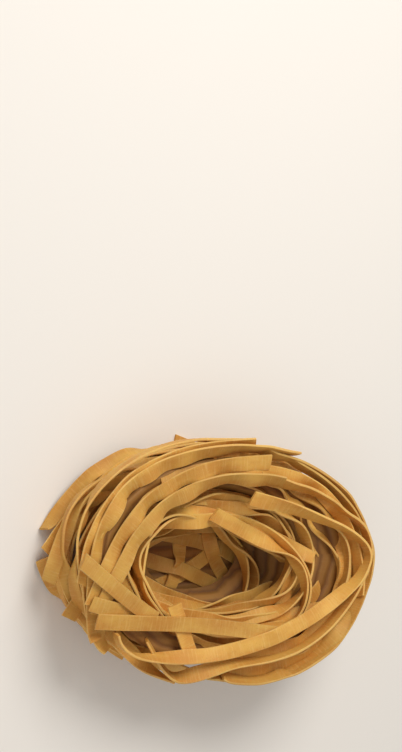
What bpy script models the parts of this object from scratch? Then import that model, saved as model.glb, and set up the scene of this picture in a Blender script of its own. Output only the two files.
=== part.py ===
"""A dry pasta nest: long flat egg noodles coiled into an oval nest with a hollow in the middle.

The noodles are laid as one tall coil, pressed down to the nest's height while they push each
other apart, and then fused onto a smaller core. Metres, +Z up, resting on z = 0, +X along the
nest's length. The same functions with the same numbers always give the same nest.
"""
import math

import bmesh
import bpy
import numpy as np
from mathutils import Vector
from mathutils.bvhtree import BVHTree
from mathutils.kdtree import KDTree

MM = 0.001
NODE = "pasta_nest"
WIDTH = 6.5 * MM            # of a noodle
THICK = 1.2 * MM
FUSED_THICK = 1.3 * MM      # noodles that touch overlap a little, so that they fuse
STEP = 2.5 * MM             # between two cross-sections while the noodles are laid
CONTACT = 1.35 * MM         # nearest that the middles of two noodles come
HALF_LENGTH, HALF_DEPTH = 73.0 * MM, 52.5 * MM
PRESSED = 47 * MM           # height of the pressed coil, before its layers are tilted
PITCH = 8.5 * MM            # climb of the loose coil in one turn
RINGS = 19                  # noodles coiled below the ones that show on top
SNAP = math.cos(math.radians(52))    # sharpest bend over two steps before a noodle snaps
SHORTEST = 25 * MM          # broken piece that stays in the nest
SEED = 6
ACROSS = np.array([0.06, 0.28, 0.5, 0.72, 0.94])     # places across a noodle that can touch

# Noodles laid by hand, lowest first: x and y in mm, and the tilt in degrees (0 flat, 90 on edge)
FLOOR_NOODLES = (
    ((-58, -8, 10), (-34, -17, 5), (-8, -13, 0), (18, 2, 0), (40, 17, 5), (56, 22, 15)),
    ((-30, -42, 20), (-14, -24, 5), (-3, -4, 0), (-5, 18, 5), (-22, 40, 20)),
    ((-50, 26, 15), (-26, 12, 5), (2, 5, 0), (28, -6, 0), (46, -24, 5), (56, -34, 15)),
    ((36, -38, 20), (24, -18, 5), (11, 2, 0), (14, 24, 5), (30, 42, 20)),
    ((-52, -24, 15), (-28, -1, 5), (0, 13, 0), (26, 15, 5), (50, 4, 15)),
    ((-44, 10, 15), (-22, -2, 5), (4, -11, 0), (26, -24, 5), (40, -38, 15)),
)
TOP_NOODLES = (
    ((12, 49, 80), (-20, 50, 80), (-45, 44, 60), (-58, 31, 45), (-64, 12, 50), (-61, -10, 60),
     (-50, -26, 50), (-36, -40, 30), (-23, -52, 20)),
    ((-30, 40, 60), (-50, 26, 50), (-60, 8, 40), (-61, -12, 25), (-56, -26, 10), (-51, -36, 5)),
    ((-4, -40, 30), (16, -40, 25), (34, -37, 20), (47, -29, 20), (57, -15, 25), (60, 2, 30),
     (54, 18, 40)),
    ((-8, -43, 40), (8, -47, 35), (24, -46, 35), (39, -40, 35), (52, -29, 50), (63, -15, 70),
     (68, 1, 80), (62, 16, 80)),
    ((-14, -45, 60), (4, -49, 65), (22, -49, 65), (40, -42, 60), (54, -30, 65), (66, -14, 75),
     (70, 2, 80), (64, 17, 80), (49, 31, 80), (28, 42, 75)),
    ((-3, -47, 70), (8, -51, 65), (22, -51, 55), (36, -47, 50), (48, -37.5, 55), (58.5, -26, 66),
     (67.5, -12, 78), (72, 2, 84), (67.5, 16, 82), (55, 29, 80), (37, 39, 80), (14, 45, 70)),
    ((-30, 33, 50), (-10, 38, 45), (12, 38, 40), (32, 31, 40), (48, 20, 50), (58, 5, 65),
     (57, -11, 75), (46, -24, 70), (28, -32, 60)),
    ((14, 48, 55), (-14, 46, 50), (-37, 39, 40), (-53, 26, 35), (-62, 8, 35), (-64, -8, 30)),
    ((34, 43, 80), (4, 47, 70), (-24, 42, 50), (-44, 33, 35), (-55, 18, 30), (-60, 3, 30),
     (-60, -14, 25), (-58, -31, 10)),
    ((62, -20, 85), (64, -4, 75), (58, 14, 50), (44, 28, 40), (24, 35, 35), (2, 37, 40),
     (-18, 33, 55)),
    ((-37, -29, 70), (-31, -38, 60), (-26, -45, 35), (-19, -48, 20), (-13, -45, 40), (-2, -42, 65),
     (12, -42, 80), (28, -39, 85), (43, -31, 85), (56, -20, 88), (66, -8, 90), (69, 2, 90),
     (65, 11, 88), (54, 20, 85), (36, 29, 75), (14, 34, 60)),
    ((20, 40, 50), (-8, 39, 40), (-33, 29, 30), (-48, 14, 25), (-58, -4, 20), (-62, -16, 15)),
    ((26, 32, 60), (-2, 34, 50), (-25, 27, 30), (-41, 14, 20), (-52, -3, 20), (-60, -18, 15)),
    ((-63, -12, 0), (-55, -15, 0), (-46, -18, 0), (-36, -20, 10)),
    ((-26, -16, 15), (-23, -23, 5), (-20.5, -30, 3), (-18.5, -35, 5), (-17, -40, 20)),
    ((-67, 5, 0), (-59, -2, 0), (-51, -9, 0), (-42, -16, 0), (-32, -22, 8)),
    ((-61, -19.5, 30), (-49, -21, 25), (-36, -22.5, 12), (-22, -24, 0), (-8, -26, 0),
     (6, -28.5, 5), (20, -31, 15)),
    ((-52, -25, 80), (-50.5, -30, 85), (-44, -34.5, 82), (-35, -36.5, 65), (-24, -37, 50),
     (-12, -37.5, 40), (0, -36, 25), (13, -33, 15), (27, -28, 20), (40, -22, 35), (51, -16, 60),
     (60, -11, 80), (65.5, -4, 88), (64, 4, 88), (56, 10, 80), (44, 15, 70), (28, 21, 55),
     (8, 26, 45)),
)

SECTORS = 24                # of the core round the hollow
HOLLOW = (4 * MM, -1 * MM)  # middle of the hollow
COVER = 3.0 * MM            # least depth of the core under the noodles
RIM_SHARE = 65              # percent of the noodles' points below the core's rim, before COVER
LOOKS = 48                  # directions from which a noodle may be seen
SEEN = 6                    # sights of a section that make it one to fuse on
LENGTH_SECTIONS = 8         # of a length that is fused on at once, too short to cross itself
MOST_TRIANGLES = 11600
NEAR = 0.003 * MM           # walls nearer than this are parted


def drift(rng, count, knots):
    """Values from -1 to 1 along a noodle, eased between evenly spaced knots."""
    values = rng.uniform(-1, 1, knots + 1)
    at = np.linspace(0, knots, count)
    low = np.minimum(at.astype(int), knots - 1)
    share = at - low
    share = share * share * (3 - 2 * share)
    return values[low] * (1 - share) + values[low + 1] * share


def unit(v):
    return v / np.linalg.norm(v, axis=-1)[..., None]


def spline(points, fine=30):
    """A smooth curve through the points, which may have any number of columns."""
    p = np.array(points, float)
    p = np.concatenate([[2 * p[0] - p[1]], p, [2 * p[-1] - p[-2]]])
    t = np.linspace(0, 1, fine, endpoint=False)[:, None]
    spans = [0.5 * (2 * b + (c - a) * t + (2 * a - 5 * b + 4 * c - d) * t ** 2
                    + (3 * b - a - 3 * c + d) * t ** 3)
             for a, b, c, d in zip(p, p[1:], p[2:], p[3:])]
    return np.concatenate(spans + [p[-2:-1]])


def evenly(path, length=9.0):
    """The path's first metres, with its points STEP apart."""
    run = np.concatenate([[0], np.cumsum(np.linalg.norm(np.diff(path[:, :3], axis=0), axis=1))])
    at = np.arange(0, min(length, run[-1]), STEP)
    return np.stack([np.interp(at, run, column) for column in path.T], axis=1)


def ribbon(path, tilt):
    """The two edges of a noodle that follows the path."""
    tangent = unit(np.gradient(path, axis=0))
    side = unit(np.cross(tangent, (0, 0, 1)))
    across = np.cross(side, tangent) * np.sin(tilt)[:, None] + side * np.cos(tilt)[:, None]
    return path - across * WIDTH / 2, path + across * WIDTH / 2


def straight_ends(rng, path):
    before, after = (STEP * np.arange(1, n + 1)[:, None] for n in rng.integers(3, 12, 2))
    return np.concatenate([(path[0] + unit(path[0] - path[3]) * before)[::-1], path,
                           path[-1] + unit(path[-1] - path[-4]) * after])


def ring_noodle(rng, k, base):
    """About three uneven oval turns: the lowest ones cross the middle, the others go round it."""
    turn = np.linspace(0, 6.4 * math.pi, 900)
    level, spread = k / RINGS, (0.5 + k * 0.618) % 1
    if level < 0.2:
        half_a, half_b, wander = (30 + 30 * spread) * MM, (20 + 20 * spread) * MM, 20 * MM
    else:
        spread = spread * 0.75 + 0.25 * min(1, level * 1.3)
        half_a, half_b, wander = (34 + 34 * spread) * MM, (16 + 33 * spread) * MM, 12 * MM
    half_a = half_a * (1 + 0.12 * drift(rng, len(turn), 8))
    half_b = half_b * (1 + 0.18 * drift(rng, len(turn), 8))
    lean = rng.uniform(-0.45, 0.45)
    middle = rng.uniform(-1, 1, 2) * (1.2 - spread) * (wander, wander * 0.8)
    start = rng.uniform(0, 2 * math.pi)
    x, y = half_a * np.cos(turn + start), half_b * np.sin(turn + start)
    path = np.stack([middle[0] + x * math.cos(lean) - y * math.sin(lean),
                     middle[1] + x * math.sin(lean) + y * math.cos(lean),
                     base + PITCH * turn / (2 * math.pi) + 0.8 * MM * drift(rng, len(turn), 9)], axis=1)
    path = straight_ends(rng, evenly(path, rng.uniform(0.40, 0.60)))
    bend = np.linalg.norm(np.gradient(unit(np.gradient(path, axis=0)), axis=0), axis=1) / STEP
    free = np.clip(1.3 - bend * 0.03, 0.3, 1)
    twist = drift(rng, len(path), max(4, int(len(path) * STEP / 0.045)))
    return ribbon(path, np.pi / 2 - np.radians(80) * free * twist)


def hand_noodle(points, base):
    line = spline(points)
    path = evenly(np.column_stack([line[:, :2] * MM, np.full(len(line), base), np.radians(line[:, 2])]))
    if len(path) * STEP > 0.2:
        path[:, 2] += np.linspace(0, 6 * MM, len(path))
    return ribbon(path[:, :3], path[:, 3])


class Pile:
    """All noodles as two rows of edge points, with what keeps them flat, stiff and apart."""

    def __init__(self, noodles):
        self.a, self.b = (np.concatenate([noodle[k] for noodle in noodles]) for k in (0, 1))
        self.edges = (self.a, self.b)
        sizes = [len(noodle[0]) for noodle in noodles]
        self.starts = np.cumsum([0] + sizes)
        self.noodle = np.repeat(np.arange(len(sizes)), sizes)
        self.index = np.concatenate([np.arange(n) for n in sizes])
        link = np.nonzero(self.noodle[:-1] == self.noodle[1:])[0]
        self.links = [link[self.index[link] % 2 == k] for k in (0, 1)]
        inner = np.arange(2, len(self.a) - 2)
        self.inner = inner[self.noodle[inner - 2] == self.noodle[inner + 2]]

    def samples(self):
        mix = ACROSS[None, :, None]
        return (self.a[:, None] * (1 - mix) + self.b[:, None] * mix).reshape(-1, 3)

    def find_pairs(self):
        """Pairs of samples that may touch soon, by a grid of cells."""
        reach = CONTACT * 1.9
        points = self.samples()
        cell = np.floor(points / reach).astype(np.int64) + 512
        key = (cell[:, 0] << 40) | (cell[:, 1] << 20) | cell[:, 2]
        order = np.argsort(key, kind="stable")
        keys = key[order]
        found = []
        steps = (-1, 0, 1)
        for i, j, k in [(i, j, k) for i in steps for j in steps for k in steps if (i, j, k) >= (0, 0, 0)]:
            other = ((cell[:, 0] + i) << 40) | ((cell[:, 1] + j) << 20) | (cell[:, 2] + k)
            low = np.searchsorted(keys, other, "left")
            many = np.searchsorted(keys, other, "right") - low
            first = np.repeat(np.arange(len(points)), many)
            within = np.arange(len(first)) - np.repeat(np.cumsum(many) - many, many)
            second = order[np.repeat(low, many) + within]
            keep = ((points[first] - points[second]) ** 2).sum(1) < reach ** 2
            if (i, j, k) == (0, 0, 0):
                keep &= first < second
            found.append(np.stack([first[keep], second[keep]]))
        pair = np.concatenate(found, axis=1)
        s, t = pair // len(ACROSS)
        self.pairs = pair[:, (self.noodle[s] != self.noodle[t]) | (abs(self.index[s] - self.index[t]) > 6)]

    def push_apart(self):
        points = self.samples()
        i, j = self.pairs
        gap = points[i] - points[j]
        distance = np.sqrt((gap ** 2).sum(1))
        hit = distance < CONTACT
        i, j, gap, distance = i[hit], j[hit], gap[hit], distance[hit]
        if not len(i):
            return
        push = gap * ((CONTACT - distance) / np.maximum(distance, 1e-7) * 0.5)[:, None]
        count = len(points)
        move = np.stack([np.bincount(i, push[:, k], count) - np.bincount(j, push[:, k], count)
                         for k in range(3)], axis=1)
        hits = np.bincount(i, minlength=count) + np.bincount(j, minlength=count)
        move = (move / np.maximum(hits, 1)[:, None] ** 0.5).reshape(-1, len(ACROSS), 3)
        touched = hits.reshape(-1, len(ACROSS)) > 0
        for p, weight in ((self.a, (1 - ACROSS) * touched), (self.b, ACROSS * touched)):
            shift = (move * weight[:, :, None]).sum(1) / np.maximum((weight ** 2).sum(1), 0.35)[:, None]
            size = np.linalg.norm(shift, axis=1)
            p += shift * np.minimum(1, 0.6 * MM / np.maximum(size, 1e-9))[:, None]

    def pull(self, p, i, q, j, length, strength):
        gap = p[i] - q[j]
        distance = np.sqrt((gap ** 2).sum(1))
        move = gap * ((distance - length) / np.maximum(distance, 1e-9) * 0.5 * strength)[:, None]
        p[i] -= move
        q[j] += move

    def keep_flat(self, rounds):
        every = np.arange(len(self.a))
        diagonal = math.hypot(STEP, WIDTH)
        for _ in range(rounds):
            for link in self.links:
                self.pull(self.a, link, self.a, link + 1, STEP, 1)
                self.pull(self.b, link, self.b, link + 1, STEP, 1)
                self.pull(self.a, link, self.b, link + 1, diagonal, 0.35)
                self.pull(self.b, link, self.a, link + 1, diagonal, 0.35)
            self.pull(self.a, every, self.b, every, WIDTH, 1)

    def keep_inside(self):
        """Hold the noodles above the floor and inside the nest's uneven oval."""
        for p in self.edges:
            p[:, 2] = np.maximum(p[:, 2], THICK / 2)
            x, y = p[:, 0] / HALF_LENGTH, p[:, 1] / HALF_DEPTH
            angle = np.arctan2(y, x)
            limit = 1 - 0.025 * (1 + np.sin(3 * angle + 0.6)) / 2 - 0.015 * np.sin(5 * angle)
            r = np.hypot(x, y) / limit
            out = r > 1
            p[out, :2] *= (1 - 0.3 * (1 - 1 / r[out]))[:, None]

    def settle(self, k, rounds, stiffness):
        if k % 6 == 0:
            self.find_pairs()
        self.push_apart()
        self.keep_flat(rounds)
        for p in self.edges:
            i = self.inner
            p[i] -= stiffness * (p[i - 2] - 4 * p[i - 1] + 6 * p[i] - 4 * p[i + 1] + p[i + 2])
        self.keep_inside()
        for p in self.edges:
            np.round(p, 9, out=p)

    def top(self):
        return max(np.percentile(p[:, 2], 99.5) for p in self.edges)


def unbroken(a, b):
    """The lengths of a noodle between the places where it bends too sharply and would snap."""
    along = [unit(np.gradient(p, axis=0)) for p in (a, b, (a + b) / 2)]
    sharp = np.zeros(len(a), bool)
    for way in along:
        bend = (way[2:] * way[:-2]).sum(axis=1)
        sharp[1:-1] |= bend < SNAP
    sharp = np.convolve(sharp, np.ones(5), "same") > 0
    ends = np.concatenate([[-1], np.nonzero(sharp)[0], [len(a)]])
    return [(a[s + 1:e], b[s + 1:e]) for s, e in zip(ends, ends[1:]) if e - s - 1 >= SHORTEST / STEP]


def tilt_layers(p):
    """Tilt and wave the layers, each height a little differently, without crossing them."""
    x, y, z = p[:, 0] / HALF_LENGTH, p[:, 1] / HALF_DEPTH, p[:, 2] / PRESSED
    angle = np.arctan2(y, x)
    lift = np.minimum(1, z * 3) * np.hypot(x, y) * MM
    p[:, 2] += lift * (5.0 * np.sin(angle - 0.4 + 2.8 * z) + 3.0 * np.sin(2 * angle - 0.8 - 2.6 * z)
                       + 2.0 * np.sin(3 * angle + 2.1 + 2.4 * z))
    low = np.clip(1 - z / 0.8, 0, 1) * MM
    p[:, 0] += low * (2 * np.sin(2 * angle + 6 * z) - 1.7)
    p[:, 1] += low * (2 * np.cos(3 * angle - 5 * z) + 3.6)


def lay_nest():
    rng = np.random.default_rng(SEED)
    noodles, base = [], 1 * MM
    for points in FLOOR_NOODLES:
        noodles.append(hand_noodle(points, base))
        base = max(edge[:, 2].max() for edge in noodles[-1]) + 0.3 * PITCH
    for k in range(RINGS):
        noodles.append(ring_noodle(rng, k, base))
        base = max(edge[:, 2].max() for edge in noodles[-1]) + 0.6 * PITCH
    for points in TOP_NOODLES:
        noodles.append(hand_noodle(points, base))
        base = max(edge[:, 2].max() for edge in noodles[-1]) + 0.5 * PITCH
    pile = Pile(noodles)
    free = range(len(FLOOR_NOODLES), len(FLOOR_NOODLES) + RINGS)
    held = np.nonzero(~np.isin(pile.noodle, free))[0]
    homes = [p[held, :2].copy() for p in pile.edges]
    for k in range(400):
        if pile.top() <= PRESSED:
            break
        for p, home in zip(pile.edges, homes):
            p[:, 2] *= 0.988
            p[held, :2] += 0.02 * (home - p[held, :2])
        pile.settle(k, 3, 0.05)
    for p in pile.edges:
        tilt_layers(p)
    for k in range(90):
        for p, home in zip(pile.edges, homes):
            p[:, 2] -= 0.04 * MM
            p[held, :2] += 0.03 * (home - p[held, :2])
        pile.settle(k, 4, 0.05)
    both = np.concatenate(pile.edges)
    middle = (both.min(axis=0) + both.max(axis=0)) / 2 * (1, 1, 0)
    laid = []
    for k, (s, e) in enumerate(zip(pile.starts, pile.starts[1:])):
        noodle = pile.a[s:e] - middle, pile.b[s:e] - middle
        laid += unbroken(*noodle) if k in free else [noodle]
    return laid


def core_rings(noodles):
    """The core's sectors as rows of (r, z) from the underside's edge over the rim to the hollow's floor."""
    points = np.concatenate([a * (1 - s) + b * s for a, b in noodles for s in (0, 0.5, 1)])
    x, y, z = points[:, 0] - HOLLOW[0], points[:, 1] - HOLLOW[1], points[:, 2]
    r, angle = np.hypot(x, y), np.arctan2(y, x)
    height = z.max()
    rows = []
    for k in range(SECTORS):
        off = np.abs((angle - 2 * math.pi * k / SECTORS + math.pi) % (2 * math.pi) - math.pi)
        near = off < 2 * math.pi / SECTORS
        row = []
        for low, high, z_at in ((0.02, 0.30, 0.15), (0.25, 0.65, 0.45), (0.6, 0.95, 0.74)):
            band = near & (z > low * height) & (z < high * height)
            outer = np.percentile(r[band], 86) - COVER
            inner = np.percentile(r[band & (r > 8 * MM)], 14) + COVER
            row.append((min(inner, outer - 9 * MM), outer, z_at * height))
        inner, outer, level = row[2]
        crest = []
        for share in (0.75, 0.5, 0.25):
            r_at = inner + share * (outer - inner)
            under = near & (abs(r - r_at) < 4 * MM)
            crest.append((r_at, max(np.percentile(z[under], RIM_SHARE) - COVER, level + 0.5 * MM)))
        rows.append([(0.35 * row[0][1], 0), (0.9 * row[0][1], 2.5 * MM)] + [(o, h) for _, o, h in row]
                    + crest + [(i, h) for i, _, h in reversed(row)])
    rows = np.array(rows)
    before, after = np.roll(rows, 1, axis=0), np.roll(rows, -1, axis=0)
    lowest = np.minimum(rows, np.minimum(before, after))
    rows[:, 5:8, 1] = lowest[:, 5:8, 1]
    return (np.roll(rows, 1, axis=0) + 2 * rows + np.roll(rows, -1, axis=0)) / 4


def mesh_object(name, verts, faces):
    mesh = bpy.data.meshes.new(name)
    mesh.from_pydata([tuple(v) for v in verts], [], faces)
    bm = bmesh.new()
    bm.from_mesh(mesh)
    bmesh.ops.triangulate(bm, faces=bm.faces[:], quad_method="SHORT_EDGE")
    bm.to_mesh(mesh)
    bm.free()
    obj = bpy.data.objects.new(name, mesh)
    bpy.context.scene.collection.objects.link(obj)
    return obj


def core_object(rows):
    per = rows.shape[1]
    angle = 2 * math.pi * np.arange(SECTORS) / SECTORS
    x = HOLLOW[0] + rows[:, :, 0] * np.cos(angle)[:, None]
    y = HOLLOW[1] + rows[:, :, 0] * np.sin(angle)[:, None]
    verts = np.stack([x, y, rows[:, :, 1]], axis=2).reshape(-1, 3).tolist()
    floor = rows[:, -1, 1].mean() - 1.5 * MM
    verts += [(*HOLLOW, 0), (*HOLLOW, floor)]
    faces = []
    for k in range(SECTORS):
        here, there = k * per, (k + 1) % SECTORS * per
        faces += [(here + m, there + m, there + m + 1, here + m + 1) for m in range(per - 1)]
        faces += [(len(verts) - 2, there, here), (len(verts) - 1, here + per - 1, there + per - 1)]
    return mesh_object(NODE, verts, faces)


def times_seen(core, noodles):
    """For each noodle, how many lines of sight from above and the sides reach each section."""
    verts = [tuple(v.co) for v in core.data.vertices]
    faces = [tuple(f.vertices) for f in core.data.polygons]
    for a, b in noodles:
        here = len(verts)
        verts += np.stack([a, b], axis=1).reshape(-1, 3).tolist()
        faces += [(here + m, here + m + 1, here + m + 3, here + m + 2) for m in range(0, 2 * len(a) - 2, 2)]
    tree = BVHTree.FromPolygons(verts, faces)
    heights = 1 - (2 * np.arange(LOOKS) + 1) / LOOKS
    turns = np.arange(LOOKS) * math.pi * (3 - math.sqrt(5))
    looks = [Vector((math.sqrt(1 - h * h) * math.cos(t), math.sqrt(1 - h * h) * math.sin(t), h))
             for h, t in zip(heights, turns) if h > -0.3]
    seen = []
    for a, b in noodles:
        normal = unit(np.cross(np.gradient((a + b) / 2, axis=0), b - a))
        count = np.zeros(len(a))
        for side in (normal, -normal):
            for share in (0.1, 0.9):
                places = a * (1 - share) + b * share + side * 0.2 * MM
                for m, (place, out) in enumerate(zip(places, side)):
                    place, out = Vector(place), Vector(out)
                    count[m] += sum(look.dot(out) > 0 and tree.ray_cast(place, look)[0] is None
                                    for look in looks)
        seen.append(count)
    return seen


def runs_that_show(seen):
    """First and last section of each run that shows, and a little more of it where it goes under."""
    shows = np.concatenate([[False], seen >= SEEN, [False]])
    change = np.nonzero(shows[1:] != shows[:-1])[0]
    runs = []
    for first, last in zip(change[::2], change[1::2]):
        first, last = max(first - 3, 0), min(last + 2, len(seen) - 1)
        if runs and first <= runs[-1][1]:
            first = runs.pop()[0]
        runs.append((first, last))
    return [(first, last) for first, last in runs if last - first >= 5]


def sparse(a, b, first, last, slack=0.4 * MM, longest=6):
    """Numbers of the sections from first to last that draw the noodle to within the slack."""
    both = np.concatenate([a, b], axis=1)
    kept, here = [first], first
    while here < last:
        ahead = min(here + longest, last)
        while ahead > here + 2:
            share = (np.arange(here + 1, ahead) - here)[:, None] / (ahead - here)
            off = both[here] * (1 - share) + both[ahead] * share - both[here + 1:ahead]
            if np.abs(off).max() < slack:
                break
            ahead -= 1
        kept.append(ahead)
        here = ahead
    return kept


def noodle_corners(a, b):
    normal = unit(np.cross(np.gradient((a + b) / 2, axis=0), b - a)) * FUSED_THICK / 2
    corners = np.stack([a - normal, a + normal, b + normal, b - normal], axis=1)
    return np.maximum(corners, (-1, -1, 0))


def lengths_of(corners):
    """The noodle in lengths too short to cross themselves, each with its ends inside the next."""
    for first in range(0, len(corners) - 1, LENGTH_SECTIONS):
        last = min(first + LENGTH_SECTIONS, len(corners) - 1)
        length = corners[max(first - 1, 0):last + 1].copy()
        if first > 0:
            length[0] += 0.25 * (length[0].mean(axis=0) - length[0])
        if last < len(corners) - 1:
            length[-1] += 0.06 * (length[-1].mean(axis=0) - length[-1])
        yield length


def length_object(corners):
    """A length of noodle between its first and last cross-section."""
    last = 4 * len(corners) - 4
    faces = [(here + c, here + c + 4, here + (c + 1) % 4 + 4, here + (c + 1) % 4)
             for here in range(0, last, 4) for c in range(4)]
    faces += [(0, 1, 2, 3), (last + 3, last + 2, last + 1, last)]
    return mesh_object("noodle", corners.reshape(-1, 3), faces)


def largest_shell(bm):
    """Drop the loose scraps and the walls of sealed hollows."""
    seen, shells = set(), []
    for first in bm.faces:
        if first in seen:
            continue
        shell, queue = [], [first]
        seen.add(first)
        while queue:
            face = queue.pop()
            shell.append(face)
            for edge in face.edges:
                for other in edge.link_faces:
                    if other not in seen:
                        seen.add(other)
                        queue.append(other)
        shells.append(shell)
    largest = max(shells, key=len)
    bmesh.ops.delete(bm, geom=[f for shell in shells if shell is not largest for f in shell], context="FACES")


def corner_after(face, vert):
    return next(corner.link_loop_next.vert for corner in face.loops if corner.vert == vert)


def triangulate(bm):
    """Cut the faces into triangles; where two faces are cut along one line, dent one of them."""
    whole = bm.faces.layers.int.new("whole")
    for k, face in enumerate(bm.faces):
        face[whole] = k
    bmesh.ops.triangulate(bm, faces=bm.faces[:])
    bm.normal_update()
    for edge in [e for e in bm.edges if len(e.link_faces) == 4]:
        start, end = edge.verts
        pairs = [(f[whole] == g[whole], f.normal.dot(g.normal), f, g) for f in edge.link_faces
                 for g in edge.link_faces if corner_after(f, start) == end and corner_after(g, end) == start]
        _, _, f, g = max(pairs, key=lambda pair: pair[:2])
        x, y = corner_after(f, end), corner_after(g, start)
        middle = bm.verts.new((start.co + end.co) / 2 - (f.normal + g.normal) * 0.02 * MM)
        number = f[whole]
        bm.faces.remove(f)
        bm.faces.remove(g)
        for p, q in ((end, x), (x, start), (start, y), (y, end)):
            bm.faces.new((middle, p, q))[whole] = number
    bm.faces.layers.int.remove(whole)


def part_near_walls(bm):
    """Where points of two walls all but touch, sink both a little so that a gap stays."""
    bm.normal_update()
    tree = KDTree(len(bm.verts))
    verts = list(bm.verts)
    for k, vert in enumerate(verts):
        tree.insert(vert.co, k)
    tree.balance()
    sunk = set()
    for k, vert in enumerate(verts):
        for _, other, _ in tree.find_range(vert.co, NEAR):
            if other != k:
                sunk |= {k, other}
    moves = [(verts[k], verts[k].normal * 0.02 * MM) for k in sorted(sunk)]
    for vert, move in moves:
        vert.co -= move


def clean(obj):
    """Give the object one closed triangle mesh in place of what its modifiers make."""
    mesh = bpy.data.meshes.new_from_object(obj.evaluated_get(bpy.context.evaluated_depsgraph_get()))
    bm = bmesh.new()
    bm.from_mesh(mesh)
    largest_shell(bm)
    triangulate(bm)
    part_near_walls(bm)
    largest_shell(bm)
    for vert in bm.verts:
        vert.co.z = max(vert.co.z, 0)
    bm.to_mesh(mesh)
    bm.free()
    obj.modifiers.clear()
    obj.data = mesh


def main():
    for obj in list(bpy.data.objects):
        bpy.data.objects.remove(obj)
    noodles = lay_nest()
    core = core_object(core_rings(noodles))
    pieces = bpy.data.collections.new("pieces")
    for (a, b), seen in zip(noodles, times_seen(core, noodles)):
        for first, last in runs_that_show(seen):
            kept = sparse(a, b, first, last)
            for length in lengths_of(noodle_corners(a[kept], b[kept])):
                pieces.objects.link(length_object(length))
    union = core.modifiers.new("union", "BOOLEAN")
    union.operation, union.operand_type = "UNION", "COLLECTION"
    union.collection, union.solver = pieces, "MANIFOLD"
    clean(core)
    for obj in list(pieces.objects):
        bpy.data.objects.remove(obj)
    bpy.data.collections.remove(pieces)
    if len(core.data.polygons) > MOST_TRIANGLES:
        fewer = core.modifiers.new("fewer", "DECIMATE")
        fewer.ratio = MOST_TRIANGLES / len(core.data.polygons)
        clean(core)
    pasta = bpy.data.materials.new("pasta")
    pasta.use_nodes = True
    shader = pasta.node_tree.nodes["Principled BSDF"]
    shader.inputs["Base Color"].default_value = (0.62, 0.36, 0.12, 1)
    shader.inputs["Roughness"].default_value = 0.75
    core.data.materials.clear()
    core.data.materials.append(pasta)


main()
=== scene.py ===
"""The looks of a dry pasta nest: every noodle as its own ribbon, laid as in the CAD part.

The nest lies on a pale floor, seen from the photograph's angle. Metres, +Z up.
"""

import math

import bpy
import numpy as np
from mathutils import Euler, Matrix, Vector

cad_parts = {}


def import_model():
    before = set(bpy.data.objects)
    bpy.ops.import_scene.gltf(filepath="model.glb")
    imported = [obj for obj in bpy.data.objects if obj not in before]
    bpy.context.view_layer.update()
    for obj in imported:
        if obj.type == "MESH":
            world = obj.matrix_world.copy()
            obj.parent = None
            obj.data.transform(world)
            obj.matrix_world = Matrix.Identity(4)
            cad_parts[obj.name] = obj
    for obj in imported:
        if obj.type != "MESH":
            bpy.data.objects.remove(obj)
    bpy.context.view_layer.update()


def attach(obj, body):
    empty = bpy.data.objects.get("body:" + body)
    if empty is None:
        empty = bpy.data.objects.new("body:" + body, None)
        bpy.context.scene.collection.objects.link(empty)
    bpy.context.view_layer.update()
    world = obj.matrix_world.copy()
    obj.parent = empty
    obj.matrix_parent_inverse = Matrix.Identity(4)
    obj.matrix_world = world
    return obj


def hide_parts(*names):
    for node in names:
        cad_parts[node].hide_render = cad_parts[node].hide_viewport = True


MM = 0.001
WIDTH = 6.5 * MM            # of a noodle
THICK = 1.2 * MM
STEP = 2.5 * MM             # between two cross-sections while the noodles are laid
CONTACT = 1.35 * MM         # nearest that the middles of two noodles come
HALF_LENGTH, HALF_DEPTH = 73.0 * MM, 52.5 * MM
PRESSED = 47 * MM           # height of the pressed coil, before its layers are tilted
PITCH = 8.5 * MM            # climb of the loose coil in one turn
RINGS = 19                  # noodles coiled below the ones that show on top
SNAP = math.cos(math.radians(52))    # sharpest bend over two steps before a noodle snaps
SHORTEST = 25 * MM          # broken piece that stays in the nest
SEED = 6
ACROSS = np.array([0.06, 0.28, 0.5, 0.72, 0.94])     # places across a noodle that can touch

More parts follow.
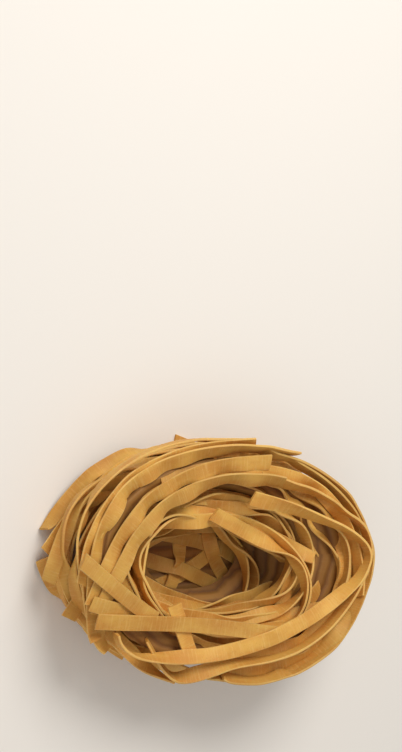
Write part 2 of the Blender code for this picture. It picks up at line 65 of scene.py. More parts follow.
# Noodles laid one by one, lowest first: x and y in mm, and the tilt in degrees (0 flat, 90 on edge)
FLOOR_NOODLES = (
    ((-58, -8, 10), (-34, -17, 5), (-8, -13, 0), (18, 2, 0), (40, 17, 5), (56, 22, 15)),
    ((-30, -42, 20), (-14, -24, 5), (-3, -4, 0), (-5, 18, 5), (-22, 40, 20)),
    ((-50, 26, 15), (-26, 12, 5), (2, 5, 0), (28, -6, 0), (46, -24, 5), (56, -34, 15)),
    ((36, -38, 20), (24, -18, 5), (11, 2, 0), (14, 24, 5), (30, 42, 20)),
    ((-52, -24, 15), (-28, -1, 5), (0, 13, 0), (26, 15, 5), (50, 4, 15)),
    ((-44, 10, 15), (-22, -2, 5), (4, -11, 0), (26, -24, 5), (40, -38, 15)),
)
TOP_NOODLES = (
    ((12, 49, 80), (-20, 50, 80), (-45, 44, 60), (-58, 31, 45), (-64, 12, 50), (-61, -10, 60),
     (-50, -26, 50), (-36, -40, 30), (-23, -52, 20)),
    ((-30, 40, 60), (-50, 26, 50), (-60, 8, 40), (-61, -12, 25), (-56, -26, 10), (-51, -36, 5)),
    ((-4, -40, 30), (16, -40, 25), (34, -37, 20), (47, -29, 20), (57, -15, 25), (60, 2, 30),
     (54, 18, 40)),
    ((-8, -43, 40), (8, -47, 35), (24, -46, 35), (39, -40, 35), (52, -29, 50), (63, -15, 70),
     (68, 1, 80), (62, 16, 80)),
    ((-14, -45, 60), (4, -49, 65), (22, -49, 65), (40, -42, 60), (54, -30, 65), (66, -14, 75),
     (70, 2, 80), (64, 17, 80), (49, 31, 80), (28, 42, 75)),
    ((-3, -47, 70), (8, -51, 65), (22, -51, 55), (36, -47, 50), (48, -37.5, 55), (58.5, -26, 66),
     (67.5, -12, 78), (72, 2, 84), (67.5, 16, 82), (55, 29, 80), (37, 39, 80), (14, 45, 70)),
    ((-30, 33, 50), (-10, 38, 45), (12, 38, 40), (32, 31, 40), (48, 20, 50), (58, 5, 65),
     (57, -11, 75), (46, -24, 70), (28, -32, 60)),
    ((14, 48, 55), (-14, 46, 50), (-37, 39, 40), (-53, 26, 35), (-62, 8, 35), (-64, -8, 30)),
    ((34, 43, 80), (4, 47, 70), (-24, 42, 50), (-44, 33, 35), (-55, 18, 30), (-60, 3, 30),
     (-60, -14, 25), (-58, -31, 10)),
    ((62, -20, 85), (64, -4, 75), (58, 14, 50), (44, 28, 40), (24, 35, 35), (2, 37, 40),
     (-18, 33, 55)),
    ((-37, -29, 70), (-31, -38, 60), (-26, -45, 35), (-19, -48, 20), (-13, -45, 40), (-2, -42, 65),
     (12, -42, 80), (28, -39, 85), (43, -31, 85), (56, -20, 88), (66, -8, 90), (69, 2, 90),
     (65, 11, 88), (54, 20, 85), (36, 29, 75), (14, 34, 60)),
    ((20, 40, 50), (-8, 39, 40), (-33, 29, 30), (-48, 14, 25), (-58, -4, 20), (-62, -16, 15)),
    ((26, 32, 60), (-2, 34, 50), (-25, 27, 30), (-41, 14, 20), (-52, -3, 20), (-60, -18, 15)),
    ((-63, -12, 0), (-55, -15, 0), (-46, -18, 0), (-36, -20, 10)),
    ((-26, -16, 15), (-23, -23, 5), (-20.5, -30, 3), (-18.5, -35, 5), (-17, -40, 20)),
    ((-67, 5, 0), (-59, -2, 0), (-51, -9, 0), (-42, -16, 0), (-32, -22, 8)),
    ((-61, -19.5, 30), (-49, -21, 25), (-36, -22.5, 12), (-22, -24, 0), (-8, -26, 0),
     (6, -28.5, 5), (20, -31, 15)),
    ((-52, -25, 80), (-50.5, -30, 85), (-44, -34.5, 82), (-35, -36.5, 65), (-24, -37, 50),
     (-12, -37.5, 40), (0, -36, 25), (13, -33, 15), (27, -28, 20), (40, -22, 35), (51, -16, 60),
     (60, -11, 80), (65.5, -4, 88), (64, 4, 88), (56, 10, 80), (44, 15, 70), (28, 21, 55),
     (8, 26, 45)),
)

SECTORS = 24                # of the core round the hollow
HOLLOW = (4 * MM, -1 * MM)  # middle of the hollow
COVER = 3.0 * MM            # least depth of the core under the noodles
RIM_SHARE = 65              # percent of the noodles' points below the core's rim, before COVER
CORE_SINK = 4.5 * MM        # how much deeper the shown core lies than the solid's
CORE_BOTTOM = 4 * MM        # height of the underside of the shown core's ring
CORE_FLOOR = (0.5 * MM, 0.7 * MM)    # underside and top of the plate between the lowest noodles, shown dark with painted shade in place of the floor
CORE_RADIUS = 45            # mm, of the ring, for the lengths along its grooves
CORE_TONE = -0.8            # each noodle has its own, from -1 to 1

# Cross-section of a noodle: (share of half the width, share of half the thickness)
PROFILE = ((-1.0, 0.0), (-0.93, 0.82), (0.0, 1.0), (0.93, 0.82),
           (1.0, 0.0), (0.93, -0.82), (0.0, -1.0), (-0.93, -0.82))
CUP = 0.28 * MM             # most that a noodle's middle rises or sinks between its edges
RUFFLE = 0.10 * MM          # most that an edge ruffles

GROOVES = 5.0               # mm from one groove of the core's look to the next
GROOVE_HALF = 1.8           # mm from the middle of a groove to the end of its shade
GROOVE_WAVER = 7.0          # mm over which a groove strays
GROOVE_SHADE_TINTS = ((0.36, 0.27, 0.19, 1), (0.58, 0.46, 0.35, 1))    # dough between grooves, darkened as painted shade, each lane at random between the two

FLOOR_HALF = 3.0            # half the side of the ground under the nest
FLOOR_COLOUR = (240, 235, 228)
SKY_COLOUR, SKY_STRENGTH = (1.0, 0.985, 0.96, 1), 0.42
LIT_POINT = (0, 0, 0.02)
LIGHTS = (                  # name, place, size, power and tint
    ("key", (0.06, 0.54, 0.66), 0.45, 4.5, (1.0, 0.97, 0.93)),
    ("fill", (-0.35, -0.25, 0.6), 0.6, 0.7, (1.0, 0.98, 0.96)),
)
SENSOR = 36.0               # mm, along the photo's longer side
PHOTO_HEIGHT, FOCAL_PIXELS = 752, 1536.5
CAMERA_PLACE = (-0.3289, 0.0925, 0.5769)
CAMERA_TURN = (-1.307, -30.36, -0.595)      # degrees about X, Y and Z, in the order Y, X, Z


def drift(rng, count, knots):
    """Values from -1 to 1 along a noodle, eased between evenly spaced knots."""
    values = rng.uniform(-1, 1, knots + 1)
    at = np.linspace(0, knots, count)
    low = np.minimum(at.astype(int), knots - 1)
    share = at - low
    share = share * share * (3 - 2 * share)
    return values[low] * (1 - share) + values[low + 1] * share


def unit(v):
    return v / np.linalg.norm(v, axis=-1)[..., None]


def spline(points, fine=30):
    """A smooth curve through the points, which may have any number of columns."""
    p = np.array(points, float)
    p = np.concatenate([[2 * p[0] - p[1]], p, [2 * p[-1] - p[-2]]])
    t = np.linspace(0, 1, fine, endpoint=False)[:, None]
    spans = [0.5 * (2 * b + (c - a) * t + (2 * a - 5 * b + 4 * c - d) * t ** 2
                    + (3 * b - a - 3 * c + d) * t ** 3)
             for a, b, c, d in zip(p, p[1:], p[2:], p[3:])]
    return np.concatenate(spans + [p[-2:-1]])


def evenly(path, length=9.0):
    """The path's first metres, with its points STEP apart."""
    run = np.concatenate([[0], np.cumsum(np.linalg.norm(np.diff(path[:, :3], axis=0), axis=1))])
    at = np.arange(0, min(length, run[-1]), STEP)
    return np.stack([np.interp(at, run, column) for column in path.T], axis=1)


def ribbon(path, tilt):
    """The two edges of a noodle that follows the path."""
    tangent = unit(np.gradient(path, axis=0))
    side = unit(np.cross(tangent, (0, 0, 1)))
    across = np.cross(side, tangent) * np.sin(tilt)[:, None] + side * np.cos(tilt)[:, None]
    return path - across * WIDTH / 2, path + across * WIDTH / 2


def straight_ends(rng, path):
    before, after = (STEP * np.arange(1, n + 1)[:, None] for n in rng.integers(3, 12, 2))
    return np.concatenate([(path[0] + unit(path[0] - path[3]) * before)[::-1], path,
                           path[-1] + unit(path[-1] - path[-4]) * after])


def ring_noodle(rng, k, base):
    """About three uneven oval turns: the lowest ones cross the middle, the others go round it."""
    turn = np.linspace(0, 6.4 * math.pi, 900)
    level, spread = k / RINGS, (0.5 + k * 0.618) % 1
    if level < 0.2:
        half_a, half_b, wander = (30 + 30 * spread) * MM, (20 + 20 * spread) * MM, 20 * MM
    else:
        spread = spread * 0.75 + 0.25 * min(1, level * 1.3)
        half_a, half_b, wander = (34 + 34 * spread) * MM, (16 + 33 * spread) * MM, 12 * MM
    half_a = half_a * (1 + 0.12 * drift(rng, len(turn), 8))
    half_b = half_b * (1 + 0.18 * drift(rng, len(turn), 8))
    lean = rng.uniform(-0.45, 0.45)
    middle = rng.uniform(-1, 1, 2) * (1.2 - spread) * (wander, wander * 0.8)
    start = rng.uniform(0, 2 * math.pi)
    x, y = half_a * np.cos(turn + start), half_b * np.sin(turn + start)
    z = base + PITCH * turn / (2 * math.pi) + 0.8 * MM * drift(rng, len(turn), 9)
    path = np.stack([middle[0] + x * math.cos(lean) - y * math.sin(lean),
                     middle[1] + x * math.sin(lean) + y * math.cos(lean), z], axis=1)
    path = straight_ends(rng, evenly(path, rng.uniform(0.40, 0.60)))
    bend = np.linalg.norm(np.gradient(unit(np.gradient(path, axis=0)), axis=0), axis=1) / STEP
    free = np.clip(1.3 - bend * 0.03, 0.3, 1)
    twist = drift(rng, len(path), max(4, int(len(path) * STEP / 0.045)))
    return ribbon(path, np.pi / 2 - np.radians(80) * free * twist)


def hand_noodle(points, base):
    line = spline(points)
    heights, tilts = np.full(len(line), base), np.radians(line[:, 2])
    path = evenly(np.column_stack([line[:, :2] * MM, heights, tilts]))
    if len(path) * STEP > 0.2:
        path[:, 2] += np.linspace(0, 6 * MM, len(path))
    return ribbon(path[:, :3], path[:, 3])


class Pile:
    """All noodles as two rows of edge points, with what keeps them flat, stiff and apart."""

    def __init__(self, noodles):
        self.a, self.b = (np.concatenate([noodle[k] for noodle in noodles]) for k in (0, 1))
        self.edges = (self.a, self.b)
        sizes = [len(noodle[0]) for noodle in noodles]
        self.starts = np.cumsum([0] + sizes)
        self.noodle = np.repeat(np.arange(len(sizes)), sizes)
        self.index = np.concatenate([np.arange(n) for n in sizes])
        link = np.nonzero(self.noodle[:-1] == self.noodle[1:])[0]
        self.links = [link[self.index[link] % 2 == k] for k in (0, 1)]
        inner = np.arange(2, len(self.a) - 2)
        self.inner = inner[self.noodle[inner - 2] == self.noodle[inner + 2]]

    def samples(self):
        mix = ACROSS[None, :, None]
        return (self.a[:, None] * (1 - mix) + self.b[:, None] * mix).reshape(-1, 3)

    def find_pairs(self):
        """Pairs of samples that may touch soon, by a grid of cells."""
        reach = CONTACT * 1.9
        points = self.samples()
        cell = np.floor(points / reach).astype(np.int64) + 512
        key = (cell[:, 0] << 40) | (cell[:, 1] << 20) | cell[:, 2]
        order = np.argsort(key, kind="stable")
        keys = key[order]
        found = []
        steps = [(i, j, k) for i in (-1, 0, 1) for j in (-1, 0, 1) for k in (-1, 0, 1)]
        for i, j, k in [step for step in steps if step >= (0, 0, 0)]:
            other = ((cell[:, 0] + i) << 40) | ((cell[:, 1] + j) << 20) | (cell[:, 2] + k)
            low = np.searchsorted(keys, other, "left")
            many = np.searchsorted(keys, other, "right") - low
            first = np.repeat(np.arange(len(points)), many)
            within = np.arange(len(first)) - np.repeat(np.cumsum(many) - many, many)
            second = order[np.repeat(low, many) + within]
            keep = ((points[first] - points[second]) ** 2).sum(1) < reach ** 2
            if (i, j, k) == (0, 0, 0):
                keep &= first < second
            found.append(np.stack([first[keep], second[keep]]))
        pair = np.concatenate(found, axis=1)
        s, t = pair // len(ACROSS)
        apart = abs(self.index[s] - self.index[t]) > 6
        self.pairs = pair[:, (self.noodle[s] != self.noodle[t]) | apart]

    def push_apart(self):
        points = self.samples()
        i, j = self.pairs
        gap = points[i] - points[j]
        distance = np.sqrt((gap ** 2).sum(1))
        hit = distance < CONTACT
        i, j, gap, distance = i[hit], j[hit], gap[hit], distance[hit]
        if not len(i):
            return
        push = gap * ((CONTACT - distance) / np.maximum(distance, 1e-7) * 0.5)[:, None]
        count = len(points)
        move = np.stack([np.bincount(i, push[:, k], count) - np.bincount(j, push[:, k], count)
                         for k in range(3)], axis=1)
        hits = np.bincount(i, minlength=count) + np.bincount(j, minlength=count)
        move = (move / np.maximum(hits, 1)[:, None] ** 0.5).reshape(-1, len(ACROSS), 3)
        touched = hits.reshape(-1, len(ACROSS)) > 0
        for p, weight in ((self.a, (1 - ACROSS) * touched), (self.b, ACROSS * touched)):
            total = np.maximum((weight ** 2).sum(1), 0.35)
            shift = (move * weight[:, :, None]).sum(1) / total[:, None]
            size = np.linalg.norm(shift, axis=1)
            p += shift * np.minimum(1, 0.6 * MM / np.maximum(size, 1e-9))[:, None]

    def pull(self, p, i, q, j, length, strength):
        gap = p[i] - q[j]
        distance = np.sqrt((gap ** 2).sum(1))
        move = gap * ((distance - length) / np.maximum(distance, 1e-9) * 0.5 * strength)[:, None]
        p[i] -= move
        q[j] += move

    def keep_flat(self, rounds):
        every = np.arange(len(self.a))
        diagonal = math.hypot(STEP, WIDTH)
        for _ in range(rounds):
            for link in self.links:
                self.pull(self.a, link, self.a, link + 1, STEP, 1)
                self.pull(self.b, link, self.b, link + 1, STEP, 1)
                self.pull(self.a, link, self.b, link + 1, diagonal, 0.35)
                self.pull(self.b, link, self.a, link + 1, diagonal, 0.35)
            self.pull(self.a, every, self.b, every, WIDTH, 1)

    def keep_inside(self):
        """Hold the noodles above the floor and inside the nest's uneven oval."""
        for p in self.edges:
            p[:, 2] = np.maximum(p[:, 2], THICK / 2)
            x, y = p[:, 0] / HALF_LENGTH, p[:, 1] / HALF_DEPTH
            angle = np.arctan2(y, x)
            limit = 1 - 0.025 * (1 + np.sin(3 * angle + 0.6)) / 2 - 0.015 * np.sin(5 * angle)
            r = np.hypot(x, y) / limit
            out = r > 1
            p[out, :2] *= (1 - 0.3 * (1 - 1 / r[out]))[:, None]

    def settle(self, k, rounds, stiffness):
        if k % 6 == 0:
            self.find_pairs()
        self.push_apart()
        self.keep_flat(rounds)
        for p in self.edges:
            i = self.inner
            p[i] -= stiffness * (p[i - 2] - 4 * p[i - 1] + 6 * p[i] - 4 * p[i + 1] + p[i + 2])
        self.keep_inside()
        for p in self.edges:
            np.round(p, 9, out=p)

    def top(self):
        return max(np.percentile(p[:, 2], 99.5) for p in self.edges)


def unbroken(a, b):
    """The lengths of a noodle between the places where it bends too sharply and would snap."""
    along = [unit(np.gradient(p, axis=0)) for p in (a, b, (a + b) / 2)]
    sharp = np.zeros(len(a), bool)
    for way in along:
        bend = (way[2:] * way[:-2]).sum(axis=1)
        sharp[1:-1] |= bend < SNAP
    sharp = np.convolve(sharp, np.ones(5), "same") > 0
    ends = np.concatenate([[-1], np.nonzero(sharp)[0], [len(a)]])
    return [(a[s + 1:e], b[s + 1:e]) for s, e in zip(ends, ends[1:])
            if e - s - 1 >= SHORTEST / STEP]


def tilt_layers(p):
    """Tilt and wave the layers, each height a little differently, without crossing them."""
    x, y, z = p[:, 0] / HALF_LENGTH, p[:, 1] / HALF_DEPTH, p[:, 2] / PRESSED
    angle = np.arctan2(y, x)
    lift = np.minimum(1, z * 3) * np.hypot(x, y) * MM
    p[:, 2] += lift * (5.0 * np.sin(angle - 0.4 + 2.8 * z) + 3.0 * np.sin(2 * angle - 0.8 - 2.6 * z)
                       + 2.0 * np.sin(3 * angle + 2.1 + 2.4 * z))
    low = np.clip(1 - z / 0.8, 0, 1) * MM
    p[:, 0] += low * (2 * np.sin(2 * angle + 6 * z) - 1.7)
    p[:, 1] += low * (2 * np.cos(3 * angle - 5 * z) + 3.6)


def lay_nest():
    rng = np.random.default_rng(SEED)
    noodles, base = [], 1 * MM
    for points in FLOOR_NOODLES:
        noodles.append(hand_noodle(points, base))
        base = max(edge[:, 2].max() for edge in noodles[-1]) + 0.3 * PITCH
    for k in range(RINGS):
        noodles.append(ring_noodle(rng, k, base))
        base = max(edge[:, 2].max() for edge in noodles[-1]) + 0.6 * PITCH
    for points in TOP_NOODLES:
        noodles.append(hand_noodle(points, base))
        base = max(edge[:, 2].max() for edge in noodles[-1]) + 0.5 * PITCH
    pile = Pile(noodles)
    free = range(len(FLOOR_NOODLES), len(FLOOR_NOODLES) + RINGS)
    held = np.nonzero(~np.isin(pile.noodle, free))[0]
    homes = [p[held, :2].copy() for p in pile.edges]
    for k in range(400):
        if pile.top() <= PRESSED:
            break
        for p, home in zip(pile.edges, homes):
            p[:, 2] *= 0.988
            p[held, :2] += 0.02 * (home - p[held, :2])
        pile.settle(k, 3, 0.05)
    for p in pile.edges:
        tilt_layers(p)
    for k in range(90):
        for p, home in zip(pile.edges, homes):
            p[:, 2] -= 0.04 * MM
            p[held, :2] += 0.03 * (home - p[held, :2])
        pile.settle(k, 4, 0.05)
    both = np.concatenate(pile.edges)
    middle = (both.min(axis=0) + both.max(axis=0)) / 2 * (1, 1, 0)
    laid = []
    for k, (s, e) in enumerate(zip(pile.starts, pile.starts[1:])):
        noodle = pile.a[s:e] - middle, pile.b[s:e] - middle
        laid += unbroken(*noodle) if k in free else [noodle]
    return laid


def core_rings(noodles):
    """The core's sectors as rows of (r, z), from the underside over the rim into the hollow."""
    points = np.concatenate([a * (1 - s) + b * s for a, b in noodles for s in (0, 0.5, 1)])
    x, y, z = points[:, 0] - HOLLOW[0], points[:, 1] - HOLLOW[1], points[:, 2]
    r, angle = np.hypot(x, y), np.arctan2(y, x)
    height = z.max()
    rows = []
    for k in range(SECTORS):
        off = np.abs((angle - 2 * math.pi * k / SECTORS + math.pi) % (2 * math.pi) - math.pi)
        near = off < 2 * math.pi / SECTORS
        row = []
        for low, high, z_at in ((0.02, 0.30, 0.15), (0.25, 0.65, 0.45), (0.6, 0.95, 0.74)):
            band = near & (z > low * height) & (z < high * height)
            outer = np.percentile(r[band], 86) - COVER
            inner = np.percentile(r[band & (r > 8 * MM)], 14) + COVER
            row.append((min(inner, outer - 9 * MM), outer, z_at * height))
        inner, outer, level = row[2]
        crest = []
        for share in (0.75, 0.5, 0.25):
            r_at = inner + share * (outer - inner)
            under = near & (abs(r - r_at) < 4 * MM)
            crest.append((r_at, max(np.percentile(z[under], RIM_SHARE) - COVER, level + 0.5 * MM)))
        foot = [(0.35 * row[0][1], 0), (0.9 * row[0][1], 2.5 * MM)]
        rows.append(foot + [(o, h) for _, o, h in row] + crest
                    + [(i, h) for i, _, h in reversed(row)])
    rows = np.array(rows)
    before, after = np.roll(rows, 1, axis=0), np.roll(rows, -1, axis=0)
    lowest = np.minimum(rows, np.minimum(before, after))
    rows[:, 5:8, 1] = lowest[:, 5:8, 1]
    return (np.roll(rows, 1, axis=0) + 2 * rows + np.roll(rows, -1, axis=0)) / 4


def halved(edge):
    """The edge with a smooth point between each two of its points."""
    p = np.concatenate([[2 * edge[0] - edge[1]], edge, [2 * edge[-1] - edge[-2]]])
    between = (9 * (p[1:-2] + p[2:-1]) - p[:-3] - p[3:]) / 16
    out = np.empty((2 * len(edge) - 1, 3))
    out[::2], out[1::2] = edge, between
    return out


def noodle_surface(rng, a, b):
    """Rings of points round a noodle, with (mm along, mm across) for each point."""
    a, b = halved(a), halved(b)
    count = len(a)
    middle, across = (a + b) / 2, b - a
    width = np.linalg.norm(across, axis=1)
    along = unit(np.gradient(middle, axis=0))
    across = across / width[:, None]
    normal = unit(np.cross(along, across))
    length = np.concatenate([[0], np.cumsum(np.linalg.norm(np.diff(middle, axis=0), axis=1))])
    knots = max(4, int(length[-1] / 0.012))
    half = width / 2 * (1 + 0.025 * drift(rng, count, knots))
    thick = THICK / 2 * (1 + 0.10 * drift(rng, count, knots))
    cup = CUP * drift(rng, count, max(3, knots // 3))
    ruffle = [RUFFLE * drift(rng, count, knots * 2) for _ in (0, 1)]
    rings, marks = [], []
    for u, v in PROFILE:
        edge = ruffle[int(u > 0)] * u ** 2
        rise = cup * (u * u - 0.4) + v * thick + edge
        rings.append(middle + across * (u * half)[:, None] + normal * rise[:, None])
        marks.append(np.stack([length, u * half], axis=1) / MM)
    rings, marks = np.stack(rings, axis=1), np.stack(marks, axis=1)
    slant = np.array([u for u, _ in PROFILE])[None, :, None]
    for end, sign in ((0, -1), (-1, 1)):
        rings[end] += along[end] * slant[0] * rng.uniform(-0.9, 0.9) * MM * sign
    rings[:, :, 2] = np.maximum(rings[:, :, 2], 0)
    return rings, marks


def noodles_object(noodles):
    rng = np.random.default_rng(SEED + 1)
    per = len(PROFILE)
    verts, faces, marks, tones, base = [], [], [], [], 0
    for a, b in noodles:
        rings, mark = noodle_surface(rng, a, b)
        count = len(rings)
        verts.append(rings.reshape(-1, 3))
        marks.append(mark.reshape(-1, 2))
        tones.append(np.full(count * per, rng.uniform(-1, 1)))
        start = base + per * np.arange(count - 1)[:, None]
        side = np.arange(per)[None, :]
        after = (side + 1) % per
        faces += np.stack([start + side, start + after, start + per + after, start + per + side],
                          axis=2).reshape(-1, 4).tolist()
        faces += [list(range(base + per - 1, base - 1, -1)),
                  list(range(base + (count - 1) * per, base + count * per))]
        base += count * per
    verts, marks, tones = (np.concatenate(parts) for parts in (verts, marks, tones))
    obj = marked("noodles", verts, faces, marks, tones)
    obj.data.set_sharp_from_angle(angle=math.radians(50))
    return obj


def marked(name, verts, faces, marks, tones):
    """A smooth object that carries its marks in millimetres and its tones to the material."""
    mesh = bpy.data.meshes.new(name)
    mesh.from_pydata(verts.tolist(), [], faces)
    mesh.update()
    corner = np.zeros(len(mesh.loops), np.int32)
    mesh.loops.foreach_get("vertex_index", corner)
    layer = mesh.uv_layers.new(name="along_across")
    layer.data.foreach_set("uv", marks[corner].astype(np.float32).ravel())
    tone = mesh.attributes.new("tone", "FLOAT", "POINT")
    tone.data.foreach_set("value", tones.astype(np.float32))
    mesh.shade_smooth()
    return linked(name, mesh)


def linked(name, data):
    obj = bpy.data.objects.new(name, data)
    bpy.context.scene.collection.objects.link(obj)
    return obj


def core_mesh_object(noodles):
    """The buried part of the nest: a ring and a plate that close the view through it, made dark by
    their material's painted shade.
    """
    rows = core_rings(noodles)
    middle = rows[:, 2:].mean(axis=1)[:, None]
    away = rows - middle
    reach = np.linalg.norm(away, axis=2)[:, :, None]
    rows = middle + away * np.maximum(reach - CORE_SINK, 1 * MM) / np.maximum(reach, 1e-6)
    rows[:, :, 1] = np.maximum(rows[:, :, 1], CORE_BOTTOM)
    rows = np.concatenate([rows, rows[:1]])
    rows = np.concatenate([rows, rows[:, :1]], axis=1)
    sides, per = len(rows), rows.shape[1]
    angle = 2 * math.pi * np.arange(sides) / SECTORS
    x = HOLLOW[0] + rows[:, :, 0] * np.cos(angle)[:, None]
    y = HOLLOW[1] + rows[:, :, 0] * np.sin(angle)[:, None]
    verts = np.stack([x, y, rows[:, :, 1]], axis=2).reshape(-1, 3)
    step = np.linalg.norm(np.diff(rows, axis=1), axis=2).mean(axis=0)
    down = np.concatenate([[0], np.cumsum(step)]) / MM
    around = angle * CORE_RADIUS
    marks = np.stack(np.meshgrid(around, down, indexing="ij"), axis=2).reshape(-1, 2)
    faces = [(k * per + m, (k + 1) * per + m, (k + 1) * per + m + 1, k * per + m + 1)
             for k in range(sides - 1) for m in range(per - 1)]
    reach = middle[:, 0, 0]
    rim = np.column_stack([HOLLOW[0] + reach * np.cos(angle[:-1]),
                           HOLLOW[1] + reach * np.sin(angle[:-1])])
    for z, way in zip(CORE_FLOOR, (-1, 1)):
        plate = np.column_stack([rim, np.full(len(rim), z)])
        faces.append(tuple(range(len(verts), len(verts) + len(plate)))[::way])
        verts, marks = np.concatenate([verts, plate]), np.concatenate([marks, rim / MM])
    return marked("core", verts, faces, marks, np.full(len(verts), CORE_TONE))


class Shader:
    """A node tree that is built by short calls."""

    def __init__(self, name):
        self.material = bpy.data.materials.new(name)
        self.material.use_nodes = True
        self.tree = self.material.node_tree
        self.principled = self.tree.nodes["Principled BSDF"]

    def node(self, kind, inputs=(), **settings):
        node = self.tree.nodes.new(kind)
        for key, value in settings.items():
            setattr(node, key, value)
        for key, value in dict(inputs).items():
            self.set(node.inputs[key], value)
        return node

    def set(self, socket, value):
        if isinstance(value, bpy.types.NodeSocket):
            self.tree.links.new(value, socket)
        else:
            socket.default_value = value

    def maths(self, operation, first, second=0.0):
        return self.node("ShaderNodeMath", {0: first, 1: second}, operation=operation).outputs[0]

    def mix(self, share, first, second, blend="MIX"):
        node = self.node("ShaderNodeMix", data_type="RGBA", blend_type=blend)
        for socket, value in ((0, share), (6, first), (7, second)):
            self.set(node.inputs[socket], value)
        return node.outputs[2]

    def noise(self, vector, scale, detail=2.0, roughness=0.5):
        node = self.node("ShaderNodeTexNoise", {"Vector": vector, "Scale": scale, "Detail": detail,
                                                "Roughness": roughness})
        return node.outputs["Fac"]

    def spread(self, value, low, high, to_low=0.0, to_high=1.0):
        node = self.node("ShaderNodeMapRange", {0: value, 1: low, 2: high, 3: to_low, 4: to_high},
                         interpolation_type="SMOOTHSTEP")
        return node.outputs[0]


def colour(red, green, blue):
    """A linear colour from 8-bit sRGB."""
    def straight(value):
        value /= 255
        return value / 12.92 if value <= 0.04045 else ((value + 0.055) / 1.055) ** 2.4
    return straight(red), straight(green), straight(blue), 1.0


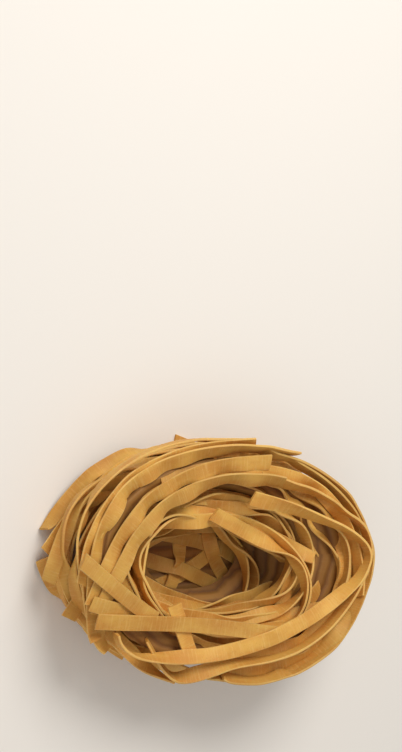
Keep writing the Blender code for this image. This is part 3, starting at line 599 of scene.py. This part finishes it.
def pasta_material(name, grooves):
    """Dry egg pasta. With grooves it gets painted shade, darker lanes and shaded grooves, so that
    it looks like noodles packed close together in shadow.
    """
    shader = Shader(name)
    mark = shader.node("ShaderNodeUVMap", uv_map="along_across").outputs[0]
    parts = shader.node("ShaderNodeSeparateXYZ", {0: mark})
    tone = shader.node("ShaderNodeAttribute", attribute_name="tone").outputs["Fac"]
    shift = shader.maths("MULTIPLY", tone, 300.0)

    def place(along, across):
        x = shader.maths("MULTIPLY", parts.outputs[0], along)
        y = shader.maths("MULTIPLY", parts.outputs[1], across)
        return shader.node("ShaderNodeCombineXYZ", {0: x, 1: y, 2: shift}).outputs[0]

    clouds = shader.noise(place(0.05, 0.12), 1.0, 3.0)
    grain = shader.noise(place(1.0, 1.0), 2.6, 3.0, 0.6)
    lines = shader.noise(place(1.0, 0.07), 1.5, 2.0, 0.6)
    specks = shader.noise(place(1.0, 1.0), 1.1, 1.0)
    rim = shader.spread(shader.maths("ABSOLUTE", parts.outputs[1]), 2.75, 3.25)

    deep, golden, pale = colour(199, 137, 57), colour(218, 168, 80), colour(234, 198, 122)
    brown = colour(178, 112, 44)
    base = shader.mix(shader.spread(clouds, 0.3, 0.7), deep, golden)
    for where, share, shade in ((shader.spread(lines, 0.45, 0.8), 0.35, pale),
                                (shader.spread(grain, 0.5, 0.8), 0.35, pale),
                                (shader.spread(specks, 0.66, 0.74), 0.30, brown),
                                (rim, 0.45, pale)):
        base = shader.mix(shader.maths("MULTIPLY", where, share), base, shade)
    warm = shader.spread(tone, -1.0, 1.0, -0.10, 0.10)
    level = shader.maths("ADD", warm, 1.0)
    value = shader.node("ShaderNodeHueSaturation", {"Value": level, "Color": base}).outputs[0]
    height = shader.maths("ADD", shader.maths("MULTIPLY", lines, 0.6),
                          shader.maths("MULTIPLY", grain, 0.5))
    if grooves:
        strays = shader.noise(place(0.05, 0.03), 1.0, 1.0)
        down = shader.maths("ADD", parts.outputs[1], shader.maths("MULTIPLY", strays, GROOVE_WAVER))
        number = shader.maths("FLOOR", shader.maths("DIVIDE", down, GROOVES))
        own = shader.node("ShaderNodeTexWhiteNoise", {"W": number}, noise_dimensions="1D")
        # Painted shade: the dough is darkened by a tint, chosen at random for each lane.
        value = shader.mix(1.0, base, shader.mix(own.outputs[0], *GROOVE_SHADE_TINTS), "MULTIPLY")
        # Painted shade along the grooves, darkest in their middles; the same mask also dents the
        # surface.
        groove_shade_and_dent = shader.spread(shader.maths("PINGPONG", down, GROOVES / 2), GROOVE_HALF, 0.0)
        value = shader.mix(shader.maths("MULTIPLY", groove_shade_and_dent, 0.6), value, colour(96, 55, 22))
        height = shader.maths("SUBTRACT", height, shader.maths("MULTIPLY", groove_shade_and_dent, 6.0))
    bump = shader.node("ShaderNodeBump",
                       {"Height": height, "Strength": 0.55, "Distance": 0.12 * MM})
    principled = shader.principled
    shader.set(principled.inputs["Base Color"], value)
    shader.set(principled.inputs["Roughness"], shader.spread(grain, 0.3, 0.7, 0.52, 0.72))
    shader.set(principled.inputs["Normal"], bump.outputs[0])
    principled.inputs["Specular IOR Level"].default_value = 0.35
    principled.inputs["Subsurface Weight"].default_value = 0.15
    principled.inputs["Subsurface Radius"].default_value = (1.0, 0.55, 0.2)
    principled.inputs["Subsurface Scale"].default_value = 1.5 * MM
    return shader.material


def plain_material(name, shade, roughness):
    shader = Shader(name)
    shader.principled.inputs["Base Color"].default_value = shade
    shader.principled.inputs["Roughness"].default_value = roughness
    return shader.material


def area_light(name, place, size, power, tint):
    light = bpy.data.lights.new(name, "AREA")
    light.shape, light.size, light.energy, light.color = "DISK", size, power, tint
    obj = linked(name, light)
    aim = (Vector(LIT_POINT) - Vector(place)).to_track_quat("-Z", "Y")
    obj.matrix_world = Matrix.Translation(place) @ aim.to_matrix().to_4x4()


def stage():
    mesh = bpy.data.meshes.new("floor")
    corners = [(x * FLOOR_HALF, y * FLOOR_HALF, 0) for x, y in ((-1, -1), (1, -1), (1, 1), (-1, 1))]
    mesh.from_pydata(corners, [], [(0, 1, 2, 3)])
    floor = linked("floor", mesh)
    mesh.materials.append(plain_material("floor", colour(*FLOOR_COLOUR), 0.8))
    world = bpy.data.worlds.new("studio")
    world.use_nodes = True
    background = world.node_tree.nodes["Background"]
    background.inputs["Color"].default_value = SKY_COLOUR
    background.inputs["Strength"].default_value = SKY_STRENGTH
    bpy.context.scene.world = world
    for light in LIGHTS:
        area_light(*light)


def camera():
    data = bpy.data.cameras.new("camera")
    data.sensor_width, data.lens = SENSOR, SENSOR * FOCAL_PIXELS / PHOTO_HEIGHT
    obj = linked("camera", data)
    turn = Euler([math.radians(angle) for angle in CAMERA_TURN], "YXZ").to_matrix().to_4x4()
    obj.matrix_world = Matrix.Translation(CAMERA_PLACE) @ turn
    bpy.context.scene.camera = obj


def main():
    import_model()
    noodles = lay_nest()
    # The core's material paints shade on it, so that it reads as noodles packed close together in
    # shadow.
    for piece, look in ((noodles_object(noodles), pasta_material("pasta", False)),
                        (core_mesh_object(noodles), pasta_material("packed pasta in painted shade", True))):
        piece.data.materials.append(look)
        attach(piece, "root")
        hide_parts("pasta_nest")
    stage()
    camera()
    bpy.context.scene.view_settings.view_transform = "Standard"


main()
